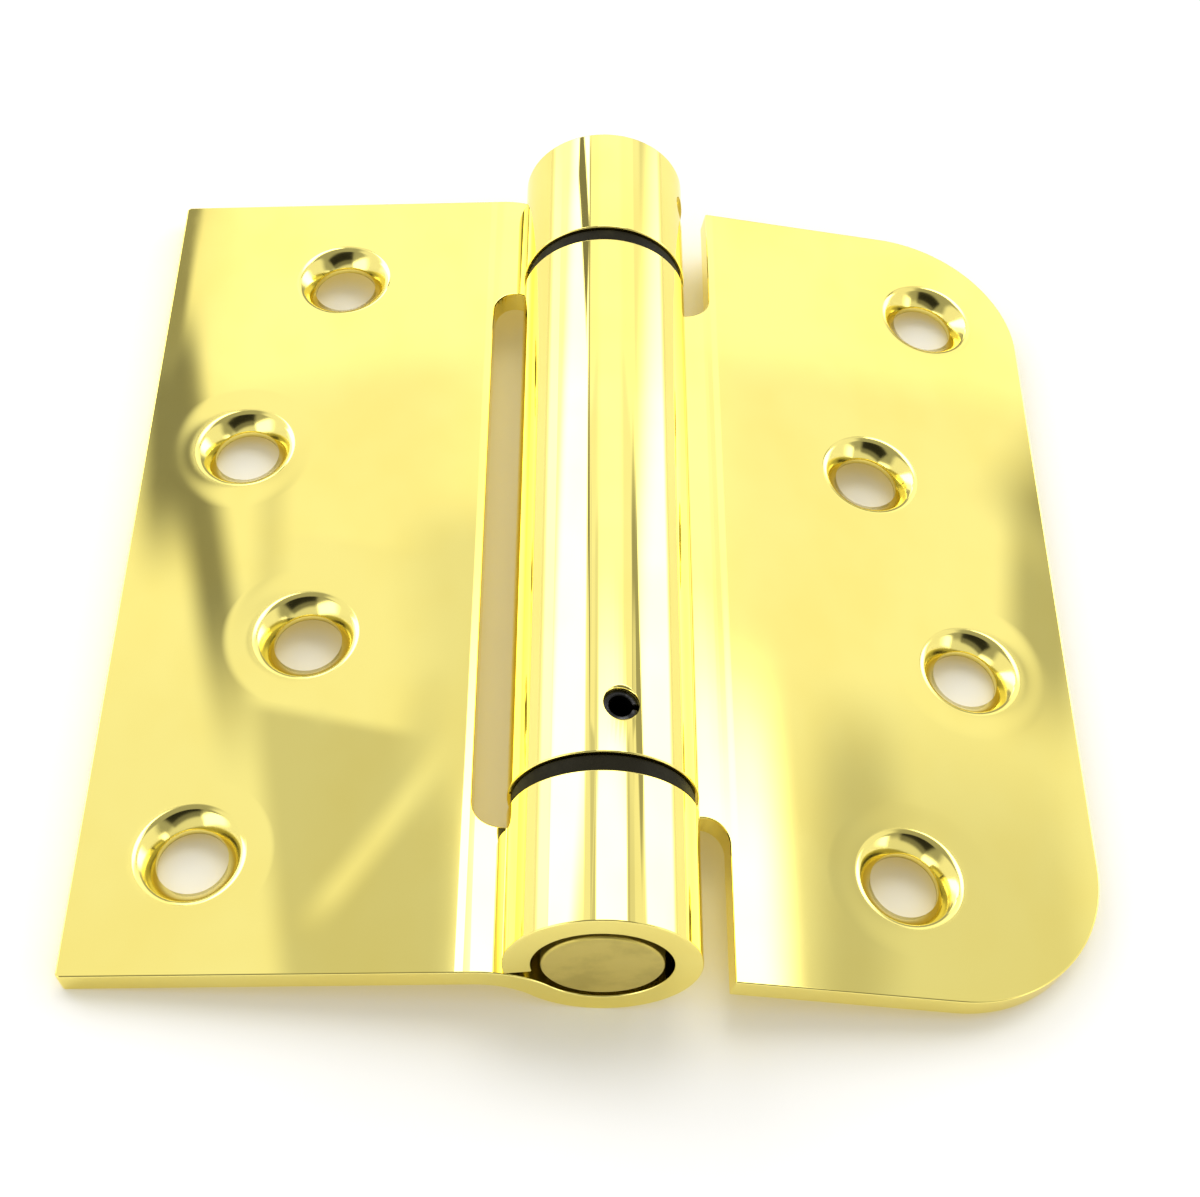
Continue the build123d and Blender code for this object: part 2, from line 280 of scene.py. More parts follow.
class Nodes:
    """Adds and links the nodes of one node tree."""

    def __init__(self, tree: bpy.types.NodeTree) -> None:
        """Start from an empty tree."""
        self.tree = tree
        tree.nodes.clear()

    def add(self, kind: str, inputs: dict | None = None, **settings: object) -> bpy.types.Node:
        """Add a node.

        Args:
            kind: Type of the node, without the words that all types start with.
            inputs: Values or output sockets for its inputs, by name or index.
            settings: Values of its own settings.

        Returns:
            The node.
        """
        node = self.tree.nodes.new("ShaderNode" + kind)
        for name, value in settings.items():
            setattr(node, name, value)
        for name, value in (inputs or {}).items():
            if isinstance(value, Socket):
                self.tree.links.new(value, node.inputs[name])
            else:
                node.inputs[name].default_value = value
        return node

    def math(self, operation: str, *values: object) -> Socket:
        """Output of a Math node on values or sockets."""
        return self.add("Math", dict(enumerate(values)), operation=operation).outputs[0]

    def ranged(self, value: Socket, span: Pair, result: Pair, kind: str = "LINEAR") -> Socket:
        """Span of a value mapped onto a span of results, and held at its ends."""
        names = ("Value", "From Min", "From Max", "To Min", "To Max")
        inputs = dict(zip(names, (value, *span, *result)))
        return self.add("MapRange", inputs, interpolation_type=kind).outputs["Result"]

    def smooth(self, value: Socket, low: float, high: float) -> Socket:
        """Rise smoothly from 0 at one value to 1 at another; falls where the first is the higher."""
        result = (0.0, 1.0) if low < high else (1.0, 0.0)
        return self.ranged(value, (min(low, high), max(low, high)), result, "SMOOTHSTEP")

    def blended(self, share: Socket, first: Colour, second: Colour) -> Socket:
        """Blend of two colours, by the second's share."""
        return self.add("Mix", {"Factor": share, "A": first, "B": second}, data_type="RGBA").outputs["Result"]

    def scaled(self, scale: Sequence[float]) -> Socket:
        """Object coordinates, multiplied by a scale."""
        place = self.add("TexCoord").outputs["Object"]
        return self.add("Mapping", {"Vector": place, "Scale": scale}).outputs["Vector"]

    def noise(self, scale: Sequence[float], detail: float, rough: float) -> Socket:
        """Noise from 0 to 1 on Object coordinates, with a scale in cells per metre each way."""
        inputs = {"Vector": self.scaled(scale), "Scale": 1.0, "Detail": detail, "Roughness": rough}
        return self.add("TexNoise", inputs).outputs[0]

    def bump(self, height: Socket, distance: float, normal: Socket | None = None) -> Socket:
        """Normal bumped by a height from 0 to 1 that stands for a distance in millimetres."""
        inputs = {"Height": height, "Distance": distance * MM, "Strength": 1.0}
        if normal is not None:
            inputs["Normal"] = normal
        return self.add("Bump", inputs).outputs["Normal"]

    def rotated(self, vector: Socket, angle: float, axis: str) -> Socket:
        """Vector turned round an axis."""
        inputs = {"Vector": vector, "Angle": radians(angle)}
        return self.add("VectorRotate", inputs, rotation_type=axis).outputs[0]

    def greatest(self, *values: Socket) -> Socket:
        """Greatest of some values."""
        first, *others = values
        for other in others:
            first = self.math("MAXIMUM", first, other)
        return first

    def mixed(self, share: Socket, first: Socket, second: Socket) -> Socket:
        """Mix of two shaders, by the second's share."""
        return self.add("MixShader", {0: share, 1: first, 2: second}).outputs[0]

    def surface(self, inputs: dict) -> None:
        """End a material's tree in a Principled surface with these inputs."""
        self.add("OutputMaterial", {"Surface": self.add("BsdfPrincipled", inputs).outputs[0]})


def material(name: str) -> tuple[bpy.types.Material, Nodes]:
    """New material with an empty tree, and the builder of its nodes."""
    made_material = bpy.data.materials.new(name)
    made_material.use_nodes = True
    return made_material, Nodes(made_material.node_tree)


@dataclass(frozen=True)
class BrightBrass:
    """Bright plated brass, buffed to a mirror and lacquered.

    Attributes:
        holes: Centres of the right leaf's holes, in millimetres. A half turn gives the left leaf's.
        pale: Colour where the plating is palest.
        deep: Colour where it is deepest.
        patch_cells: Patches of colour per metre, each way.
        patch_span: Values of the patches' noise between which the colour changes.
        gloss_tint: Tint of the reflections at a low angle.
        smear_cells: Smears per metre, each way.
        smear_span: Values of the smears' noise between which the roughness changes.
        roughness: Roughness of the buffed face, and where it is smeared most.
        turned: Roughness that is added in the countersinks, which are turned and not buffed.
        turned_radii: Radii between which it sets in, in millimetres.
        wave: Height of the sheet's slow waves, in millimetres.
        wave_cells: Waves per metre, each way.
        sink: How far the face is drawn in round a countersink, in millimetres.
        sink_radii: Radii between which it is drawn in, in millimetres.
        lip: How far the face rolls down to the cleared slots beside the barrel, in millimetres.
        lip_reach: Distances from the barrel's axis between which it does, in millimetres.
    """

    holes: tuple[Pair, ...]
    pale: Colour = (0.94, 0.82, 0.25, 1.0)
    deep: Colour = (0.92, 0.78, 0.215, 1.0)
    patch_cells: Triple = (55.0, 40.0, 55.0)
    patch_span: Pair = (0.35, 0.7)
    gloss_tint: Colour = (1.0, 0.97, 0.8, 1.0)
    smear_cells: Triple = (260.0, 90.0, 260.0)
    smear_span: Pair = (0.4, 0.8)
    roughness: Pair = (0.012, 0.042)
    turned: float = 0.1
    turned_radii: Pair = (6.1, 5.3)
    wave: float = 0.022
    wave_cells: Triple = (34.0, 24.0, 34.0)
    sink: float = 0.015
    sink_radii: Pair = (5.7, 8.6)
    lip: float = 0.05
    lip_reach: Pair = (12.7, 13.5)

    def distances(self, nodes: Nodes) -> tuple[Socket, Socket]:
        """Distances from the barrel's axis and from the nearest hole's centre.

        Args:
            nodes: Builder of the material's nodes.

        Returns:
            Both distances, in metres.
        """
        place = nodes.add("SeparateXYZ", {"Vector": nodes.add("TexCoord").outputs["Object"]})
        side = nodes.math("SIGN", place.outputs["X"])
        across = nodes.math("MULTIPLY", place.outputs["X"], side)
        along = nodes.math("MULTIPLY", place.outputs["Y"], side)
        folded = nodes.add("CombineXYZ", {"X": across, "Y": along}).outputs[0]
        away = []
        for column, row in self.holes:
            centre = (column * MM, row * MM, 0.0)
            distance = nodes.add("VectorMath", {0: folded, 1: centre}, operation="DISTANCE")
            away.append(distance.outputs["Value"])
        nearest = away[0]
        for other in away[1:]:
            nearest = nodes.math("MINIMUM", other, nearest)
        return across, nearest

    def build(self) -> bpy.types.Material:
        """Make the material."""
        finish, nodes = material(Slot.BRIGHT_BRASS.value)
        patches = nodes.noise(self.patch_cells, 3.0, 0.6)
        tint = nodes.blended(nodes.smooth(patches, *self.patch_span), self.pale, self.deep)
        rough = nodes.ranged(nodes.noise(self.smear_cells, 4.0, 0.65), self.smear_span, self.roughness)
        across, nearest = self.distances(nodes)
        turned_zone = nodes.smooth(nearest, *(radius * MM for radius in self.turned_radii))
        rough = nodes.math("MULTIPLY_ADD", turned_zone, self.turned, rough)
        sinks = nodes.smooth(nearest, *(radius * MM for radius in self.sink_radii))
        lips = nodes.smooth(across, *(reach * MM for reach in self.lip_reach))
        normal = nodes.bump(lips, self.lip, nodes.bump(sinks, self.sink))
        normal = nodes.bump(nodes.noise(self.wave_cells, 1.0, 0.4), self.wave, normal)
        inputs = {"Base Color": tint, "Metallic": 1.0, "Roughness": rough, "Normal": normal}
        nodes.surface(inputs | {"Specular Tint": self.gloss_tint})
        return finish


@dataclass(frozen=True)
class PlainFinish:
    """Finish whose wear changes its colour and roughness, over a fine grain.

    Attributes:
        slot: The record's material slot, whose name it takes.
        fresh: Colour where it isn't worn.
        worn: Colour where it is worn most.
        wear_cells: Worn patches per metre.
        wear_noise: Detail and roughness of the noise that lays them out.
        wear_span: Values of that noise between which the colour changes.
        rough_span: Values of that noise between which the roughness changes.
        roughness: Roughness at those two values.
        grain_cells: Grains per metre, each way.
        grain_rough: Roughness of the grain's noise.
        grain: Height of the grain, in millimetres.
        metallic: 1 for a metal and 0 for a plastic.
        specular: Level of the reflections of a plastic.
        gloss_tint: Tint of those reflections.
    """

    slot: Slot
    fresh: Colour
    worn: Colour
    wear_cells: float
    wear_noise: Pair
    wear_span: Pair
    rough_span: Pair
    roughness: Pair
    grain_cells: Triple
    grain_rough: float
    grain: float
    metallic: float = 1.0
    specular: float = 0.5
    gloss_tint: Colour = WHITE

    def build(self) -> bpy.types.Material:
        """Make the material."""
        finish, nodes = material(self.slot.value)
        wear = nodes.noise((self.wear_cells,) * 3, *self.wear_noise)
        tint = nodes.blended(nodes.smooth(wear, *self.wear_span), self.fresh, self.worn)
        rough = nodes.ranged(wear, self.rough_span, self.roughness)
        normal = nodes.bump(nodes.noise(self.grain_cells, 2.0, self.grain_rough), self.grain)
        inputs = {"Base Color": tint, "Metallic": self.metallic, "Roughness": rough, "Normal": normal}
        nodes.surface(inputs | {"Specular IOR Level": self.specular, "Specular Tint": self.gloss_tint})
        return finish


# Turned brass that wasn't buffed: the ends of the plugs, tarnished in patches
DULL_BRASS = PlainFinish(
    Slot.DULL_BRASS, fresh=(0.62, 0.51, 0.13, 1.0), worn=(0.50, 0.41, 0.10, 1.0),
    wear_cells=240.0, wear_noise=(5.0, 0.55), wear_span=(0.4, 0.68),
    rough_span=(0.3, 0.75), roughness=(0.34, 0.46),
    grain_cells=(5200.0, 900.0, 5200.0), grain_rough=0.6, grain=0.006,
)
# Moulded nylon of the bearings
BLACK_NYLON = PlainFinish(
    Slot.NYLON, fresh=(0.007, 0.006, 0.003, 1.0), worn=(0.022, 0.020, 0.010, 1.0),
    wear_cells=300.0, wear_noise=(4.0, 0.6), wear_span=(0.42, 0.7),
    rough_span=(0.3, 0.7), roughness=(0.5, 0.65),
    grain_cells=(9000.0, 9000.0, 9000.0), grain_rough=0.5, grain=0.004,
    metallic=0.0, specular=0.12, gloss_tint=(1.0, 0.93, 0.62, 1.0),
)
# Oiled steel of the anchor pin and of the spring, rubbed bright in places
BLACK_STEEL = PlainFinish(
    Slot.BLACK_STEEL, fresh=(0.02, 0.02, 0.02, 1.0), worn=(0.12, 0.12, 0.12, 1.0),
    wear_cells=500.0, wear_noise=(4.0, 0.6), wear_span=(0.5, 0.75),
    rough_span=(0.3, 0.75), roughness=(0.5, 0.3),
    grain_cells=(4000.0, 4000.0, 4000.0), grain_rough=0.5, grain=0.005,
)
SPRING_STEEL = replace(
    BLACK_STEEL, slot=Slot.SPRING_STEEL, fresh=(0.08, 0.08, 0.085, 1.0), worn=(0.3, 0.3, 0.3, 1.0),
    roughness=(0.45, 0.25),
)


@dataclass(frozen=True)
class Leaf:
    """One leaf, cut and rolled from a single sheet, drawn flat and to the right of the axis.

    Attributes:
        name: Name of the piece.
        node: The CAD node that it stands for.
        body: The CAD body that it rides on.
        corner_radius: Radius of its two outer corners.
        corner_steps: Steps round such a corner.
        width: Width from the barrel's axis to the outer edge.
        sheet: Thickness of the sheet.
        axis_height: Height of the barrel's axis over the leaf's upper face.
        swage_radius: Inside radius of the bend under the barrel.
        seam_gap: Gap where the rolled end comes back to the bend.
        roll_steps: Steps round the roll.
        bend_steps: Steps round the bend.
        edge_setback: How far in from its outer edge the leaf rests on the floor.
        end_face: Distance from mid-length to an end knuckle's inner face.
        middle_face: Distance from mid-length to an end of the middle knuckle.
        slot_offset: Distance of the clearings' straight edge from the axis.
        slot_corner_radius: Radius of the clearings' corners.
        slot_corner_steps: Steps round such a corner.
        hole_pitch: Distance from one screw hole to the next along the barrel.
        hole_margin: Distance of the outer column of holes from the outer edge.
        column_spacing: Distance between the two columns of holes.
        hole_radius: Radius of a screw hole.
        countersink_radius: Radius of a countersink where its cone would meet the face.
        countersink_angle: Included angle of the countersink.
        rim_width: How far the soft rim of a countersink reaches past the cone.
        rim_lift: How far the rim's cutter starts above the face.
        rim_steps: Steps down the rim.
        hole_steps: Steps round a hole.
        back_chamfer: Chamfer of a hole on the leaf's lower face.
        edge_width: Width of the rounding of the sheet's edges.
    """

    name: str
    node: str
    body: str
    corner_radius: float
    corner_steps: int
    width: float = 50.8
    sheet: float = 2.67
    axis_height: float = 1.0
    swage_radius: float = 7.0
    seam_gap: float = 0.12
    roll_steps: int = 124
    bend_steps: int = 20
    edge_setback: float = 0.25
    end_face: float = 35.4
    middle_face: float = 33.5
    slot_offset: float = 12.8
    slot_corner_radius: float = 2.8
    slot_corner_steps: int = 12
    hole_pitch: float = 25.4
    hole_margin: float = 11.05
    column_spacing: float = 9.0
    hole_radius: float = 3.55
    countersink_radius: float = 5.2
    countersink_angle: float = 98.0
    rim_width: float = 0.42
    rim_lift: float = 0.003
    rim_steps: int = 9
    hole_steps: int = 80
    back_chamfer: float = 0.2
    edge_width: float = 0.16

    @property
    def bore_radius(self) -> float:
        """Radius inside the rolled knuckles."""
        return BARREL_RADIUS - self.sheet

    @property
    def top(self) -> float:
        """Height of the leaf's upper face, lying flat."""
        return -self.axis_height

    @property
    def bottom(self) -> float:
        """Height of the leaf's lower face, lying flat."""
        return -self.axis_height - self.sheet

    @property
    def droop(self) -> float:
        """Angle that brings the outer edge down to the level of the barrel's underside."""
        reach, drop = self.width - self.edge_setback, self.axis_height + self.sheet
        return degrees(acos(drop / hypot(reach, drop)) - acos(BARREL_RADIUS / hypot(reach, drop)))

    def bend(self) -> Triple:
        """Angle of the bend, distance of its centre from the axis, and angle where the roll ends."""
        neutral = self.swage_radius + self.sheet / 2
        distance = BARREL_RADIUS - self.sheet / 2 + neutral
        angle = acos((neutral + self.axis_height + self.sheet / 2) / distance)
        reach = self.swage_radius + self.sheet + self.seam_gap
        opening = acos((distance**2 + BARREL_RADIUS**2 - reach**2) / (2 * distance * BARREL_RADIUS))
        return degrees(angle), distance, degrees(angle + opening) - 90

    def rolled_sheet(self) -> BMesh:
        """Roll the sheet's edge round the barrel, bend it out and run it flat to the outer edge."""
        bend, distance, roll_end = self.bend()
        bm = bmesh.new()
        ends = [polar(radius, roll_end) for radius in (self.bore_radius, BARREL_RADIUS)]
        points = [bm.verts.new((x * MM, HALF_LENGTH * MM, z * MM)) for x, z in ends]
        strip = points + [bm.edges.new(points)]
        roll = 360 - (roll_end - (bend - 90))
        strip = spun(bm, strip, (0, HALF_LENGTH, 0), (0, -1, 0), roll, self.roll_steps)
        centre = (distance * sin(radians(bend)), HALF_LENGTH, -distance * cos(radians(bend)))
        strip = spun(bm, strip, centre, (0, 1, 0), bend, self.bend_steps)
        edge = [item for item in strip if isinstance(item, bmesh.types.BMEdge)]
        end = bmesh.ops.extrude_edge_only(bm, edges=edge)["geom"]
        for vert in (item for item in end if isinstance(item, bmesh.types.BMVert)):
            vert.co.x = self.width * MM
        extruded(bm, bm.faces[:], (0, -HINGE_LENGTH, 0))
        cleaned(bm)
        softened(bm, through_edges(bm, self.width), self.corner_radius, self.corner_steps)
        return bm

    def clearing(self, low: float, high: float) -> BMesh:
        """Block that clears one span for the other leaf's knuckle, with rounded inner corners."""
        reach = 2 * BARREL_RADIUS
        bm = block((-reach, low, -reach), (self.slot_offset, high, reach))
        edges = through_edges(bm, self.slot_offset)
        inner = [edge for edge in edges if abs(edge.verts[0].co.y) < HALF_LENGTH * MM]
        softened(bm, inner, self.slot_corner_radius, self.slot_corner_steps)
        return bm

    def screw_hole(self, column: float, row: float) -> BMesh:
        """Tool that cuts a countersunk hole whose rim rolls softly into the face."""
        slope = 90 - self.countersink_angle / 2
        rim_radius = self.rim_width / tan(radians(slope / 2))
        rim = self.countersink_radius + self.rim_width
        cone_depth = (self.countersink_radius - self.hole_radius) * tan(radians(slope))
        flared = self.hole_radius + self.back_chamfer
        profile = [(0.0, self.bottom - OVERCUT), (flared, self.bottom - OVERCUT), (flared, self.bottom)]
        wall = (self.bottom + self.back_chamfer, self.top - cone_depth)
        profile += [(self.hole_radius, height) for height in wall]
        for index in range(self.rim_steps + 1):
            angle = radians(slope * (1 - index / self.rim_steps))
            height = self.top + self.rim_lift - rim_radius * (1 - cos(angle))
            profile.append((rim - rim_radius * sin(angle), height))
        profile += [(rim + 0.05, self.top + OVERCUT), (0.0, self.top + OVERCUT)]
        bm = turned(profile, self.hole_steps)
        bm.transform(upright((column, row, 0)))
        return bm

    @property
    def hole_centres(self) -> tuple[Pair, ...]:
        """Centres of the four holes, staggered between two columns."""
        outer = self.width - self.hole_margin
        columns = (outer, outer - self.column_spacing)
        return tuple((columns[index % 2], self.hole_pitch * (1.5 - index)) for index in range(4))

    def placement(self) -> Matrix:
        """Transform from the flat drawing to the leaf's place on the hinge."""
        return Matrix.Rotation(radians(self.droop), 4, "Y")

    def clearings(self) -> tuple[Pair, ...]:
        """Spans along the barrel that are cleared for the other leaf's knuckles."""
        raise NotImplementedError

    def tool(self) -> BMesh:
        """Tool of the leaf's own, which cuts a knuckle after the edges are rounded."""
        raise NotImplementedError

    def build(self, finish: bpy.types.Material) -> bpy.types.Object:
        """Make the leaf."""
        piece = made(self.name, self.rolled_sheet())
        cut(piece, [self.clearing(low, high) for low, high in self.clearings()])
        reworked(piece, self.edge_width)
        cut(piece, [self.screw_hole(*centre) for centre in self.hole_centres] + [self.tool()])
        piece.data.transform(self.placement())
        return dressed(piece, finish, self.body, self.node)


@dataclass(frozen=True)
class SquareLeaf(Leaf):
    """Left leaf, whose end knuckles carry the bearings and the adjuster's window.

    Attributes:
        window_place: Place of the window along the barrel.
        window_height: Width of the window along the barrel.
        window_angles: First and last angle of the window, on the finished hinge.
        window_radii: Distances from the axis between which the window is cut.
        window_steps: Steps along the window.
        window_end_steps: Steps round half of each end.
    """

    name: str = "left_leaf"
    node: str = "square_leaf"
    body: str = "square_side"
    corner_radius: float = 0.5
    corner_steps: int = 5
    window_place: float = 45.6
    window_height: float = 3.7
    window_angles: Pair = (27.0, -63.0)
    window_radii: Pair = (5.1, 10.8)
    window_steps: int = 30
    window_end_steps: int = 8

    def placement(self) -> Matrix:
        """Turn the leaf over to the left of the barrel, then let it droop."""
        return Matrix.Rotation(radians(-self.droop), 4, "Y") @ Matrix.Rotation(pi, 4, "Z")

    def clearings(self) -> tuple[Pair, ...]:
        """Span that is cleared for the middle knuckle."""
        return ((-self.end_face, self.end_face),)

    def tool(self) -> BMesh:
        """Tool for the window: a bent bar with round ends, in the flat drawing."""
        half = self.window_height / 2
        reach = degrees(half / BARREL_RADIUS)
        first, last = self.window_angles[0] - reach, self.window_angles[1] + reach
        quarter = [pi / 2 * index / self.window_end_steps for index in range(self.window_end_steps + 1)]
        stations = [(first + reach * cos(turn), half * sin(turn)) for turn in quarter]
        shares = [index / self.window_steps for index in range(1, self.window_steps)]
        stations += [(first + (last - first) * share, half) for share in shares]
        stations += [(last - reach * cos(turn), half * sin(turn)) for turn in reversed(quarter)]
        bm = bmesh.new()
        rings = []
        near, far = self.window_radii
        for angle, width in stations:
            ring = []
            for radius, side in ((near, -1), (far, -1), (far, 1), (near, 1)):
                x, z = polar(radius, angle)
                ring.append(bm.verts.new(Vector((x, self.window_place + side * width, z)) * MM))
            rings.append(ring)
        for ring, following in zip(rings, rings[1:]):
            for index in range(4):
                after = (index + 1) % 4
                bm.faces.new((ring[index], ring[after], following[after], following[index]))
        bm.transform(self.placement().inverted())
        cleaned(bm)
        bmesh.ops.dissolve_limit(bm, angle_limit=radians(1), verts=bm.verts[:], edges=bm.edges[:])
        return bm


@dataclass(frozen=True)
class RoundLeaf(Leaf):
    """Right leaf, whose middle knuckle holds the spring's anchor.

    Attributes:
        pin_place: Place of the anchor pin along the barrel.
        pin_hole_radius: Radius of the hole for the pin.
        pin_rim: Points down the soft rim of that hole: how far past its wall, and how deep.
        pin_rim_lift: How far the rim's cutter starts above the knuckle.
        pin_hole_steps: Steps round that hole.
    """

    name: str = "right_leaf"
    node: str = "round_leaf"
    body: str = "round_side"
    corner_radius: float = 15.875
    corner_steps: int = 32
    pin_place: float = -28.0
    pin_hole_radius: float = 1.71
    pin_rim: tuple[Pair, ...] = ((0.0, 0.3), (0.12, 0.12), (0.4, 0.0))
    pin_rim_lift: float = 0.02
    pin_hole_steps: int = 64

    def clearings(self) -> tuple[Pair, ...]:
        """Spans that are cleared for the two end knuckles."""
        past = HALF_LENGTH + 3 * OVERCUT
        return (self.middle_face, past), (-past, -self.middle_face)

    def tool(self) -> BMesh:
        """Tool for the anchor pin's hole, through the upper wall alone."""
        rim = BARREL_RADIUS + self.pin_rim_lift
        profile = [(0.0, BARREL_RADIUS / 2), (self.pin_hole_radius, BARREL_RADIUS / 2)]
        profile += [(self.pin_hole_radius + past, rim - depth) for past, depth in self.pin_rim]
        profile += [(profile[-1][0], rim + OVERCUT), (0.0, rim + OVERCUT)]
        bm = turned(profile, self.pin_hole_steps)
        bm.transform(upright((0, self.pin_place, 0)))
        return bm


@dataclass(frozen=True)
class Bearing:
    """Flanged bearing: the flange lies between two knuckles and the sleeve in an end knuckle.

    Attributes:
        name: Name of the piece.
        node: The CAD node that it stands for.
        side: 1 at the top end of the hinge and -1 at the bottom.
        flange_radius: Radius of the flange.
        sleeve_radii: Inner and outer radius of the sleeve.
        face: Distance from mid-length to the flange's inner face.
        flange: Thickness of the flange.
        sleeve: Length of the sleeve.
        edge_width: Width of the rounding of its edges.
    """

    name: str
    node: str
    side: int
    flange_radius: float = 8.9
    sleeve_radii: Pair = (5.79, 6.59)
    face: float = 33.55
    flange: float = 1.8
    sleeve: float = 8.0
    edge_width: float = 0.18

    def build(self, finish: bpy.types.Material) -> bpy.types.Object:
        """Make the bearing."""
        inner, outer = self.sleeve_radii
        shoulder, end = self.face + self.flange, self.face + self.flange + self.sleeve
        profile = [(inner, self.face), (self.flange_radius, self.face), (self.flange_radius, shoulder)]
        profile += [(outer, shoulder), (outer, end), (inner, end)]
        bm = turned([(radius, place * self.side) for radius, place in profile], ROUND_STEPS, closed=True)
        softened(bm, sharp_edges(bm, CORNER), self.edge_width)
        piece = made(self.name, bm)
        return dressed(piece, finish, "square_side", self.node)


@dataclass(frozen=True)
class Coil:
    """Torsion spring with a tang at each end, and the slots that take the tangs.

    Attributes:
        wire: Depth of the wire towards the axis, and its height along the barrel.
        seats: Places of the two plugs' faces that the spring lies between.
        end_gap: Gap between a plug's face and the coil.
        coil_gap: Gap between two turns.
        bore_clearance: Least clearance in the barrel's bore.
        inside_radius: Inside radius of a tang's bend.
        tang_length: Straight length of a tang.
        slot_clearance: Clearance round a tang in its slot.
        slot_depth: Depth of a slot.
        slot_reach: How far the slot's cutter reaches out past the coil.
        turn_steps: Steps round one turn.
        bend_steps: Steps round a tang's bend.
        edge_width: Width of the rounding of the wire's edges.
    """

    wire: Pair = (2.2, 2.8)
    seats: Pair = (-21.45, 23.45)
    end_gap: float = 0.15
    coil_gap: float = 0.3
    bore_clearance: float = 0.15
    inside_radius: float = 0.15
    tang_length: float = 3.0
    slot_clearance: float = 0.15
    slot_depth: float = 4.2
    slot_reach: float = 8.0
    turn_steps: int = 40
    bend_steps: int = 6
    edge_width: float = 0.25

    @property
    def middle(self) -> float:
        """Place of the coil's middle along the barrel."""
        return sum(self.seats) / 2

    @property
    def bend_radius(self) -> float:
        """Radius of a tang's bend at the middle of the wire."""
        return self.inside_radius + self.wire[1] / 2

    @property
    def radius(self) -> float:
        """Radius of the coil at the middle of the wire, such that the tangs' bends clear the bore."""
        reach = self.bend_radius + self.wire[1] / 2
        bore = BARREL_RADIUS - Leaf.sheet
        return sqrt((bore - self.bore_clearance) ** 2 - reach**2) - self.wire[0] / 2

    @property
    def length(self) -> float:
        """Length of the coil between the middles of its first and last wire."""
        return self.seats[1] - self.seats[0] - 2 * self.end_gap - self.wire[1]

    @property
    def turns(self) -> float:
        """Number of turns."""
        return self.length / (self.wire[1] + self.coil_gap)

    def end(self, side: int) -> tuple[Vector, Vector, Vector]:
        """Point, direction out of the coil and centre of the tang's bend, at one end of the coil."""
        angle = side * self.turns * pi
        rise = self.length / (self.turns * 2 * pi * self.radius)
        place = self.middle + side * self.length / 2
        point = Vector((self.radius * cos(angle), place, self.radius * sin(angle)))
        tangent = Vector((-sin(angle), rise, cos(angle))).normalized() * side
        outward = ALONG * side
        across = (outward - tangent * outward.dot(tangent)).normalized()
        return point, tangent, point + across * self.bend_radius

    def slot(self, side: int) -> BMesh:
        """Tool that cuts a plug's slot for the tang at one end."""
        point, tangent, centre = self.end(side)
        level = Vector((tangent.x, 0, tangent.z)).normalized()
        corner = centre + level * self.bend_radius
        depth = self.wire[0] + 2 * self.slot_clearance
        width = self.wire[1] + 2 * self.slot_clearance
        out = Vector((point.x, 0, point.z)).normalized()
        high = (depth / 2 + self.slot_reach, width / 2, self.slot_depth)
        bm = block((-depth / 2, -width / 2, -self.slot_depth), high)
        up = ALONG * side
        turn = Matrix((out, up.cross(out), up)).transposed().to_4x4()
        mouth = Vector((corner.x, self.seats[0] if side < 0 else self.seats[1], corner.z))
        bm.transform(Matrix.Translation(mouth * MM) @ turn)
        return bm

    def build(self, finish: bpy.types.Material) -> bpy.types.Object:
        """Make the spring: a section spun up the barrel, with both ends bent into tangs."""
        steps = round(self.turns * self.turn_steps)
        bm = bmesh.new()
        first = -self.turns * pi
        points = []
        for across, along in ((-1, -1), (1, -1), (1, 1), (-1, 1)):
            radius = self.radius + across * self.wire[0] / 2
            place = self.middle - self.length / 2 + along * self.wire[1] / 2
            points.append(bm.verts.new(Vector((radius * cos(first), place, radius * sin(first))) * MM))
        start = bm.faces.new(points)
        geometry = [start] + list(start.edges) + points
        options = {"cent": (0, 0, 0), "axis": -ALONG, "angle": self.turns * 2 * pi, "steps": steps}
        options |= {"dvec": ALONG * self.length * MM / steps, "use_merge": False, "use_duplicate": False}
        result = bmesh.ops.spin(bm, geom=geometry, **options)
        ends = {-1: geometry, 1: result["geom_last"]}
        for side in (-1, 1):
            _, tangent, centre = self.end(side)
            outward = ALONG * side
            tilt = degrees(tangent.angle(outward))
            last = spun(bm, ends[side], centre, tangent.cross(outward), tilt, self.bend_steps)
            faces = [item for item in last if isinstance(item, bmesh.types.BMFace)]
            extruded(bm, faces, outward * self.tang_length)
        inner = [face for face in bm.faces if all(len(edge.link_faces) > 2 for edge in face.edges)]
        bmesh.ops.delete(bm, geom=inner, context="FACES")
        cleaned(bm)
        softened(bm, sharp_edges(bm, 60), self.edge_width, 2)
        piece = made("spring_coil", bm)
        return dressed(piece, finish, "round_side", "torsion_spring")


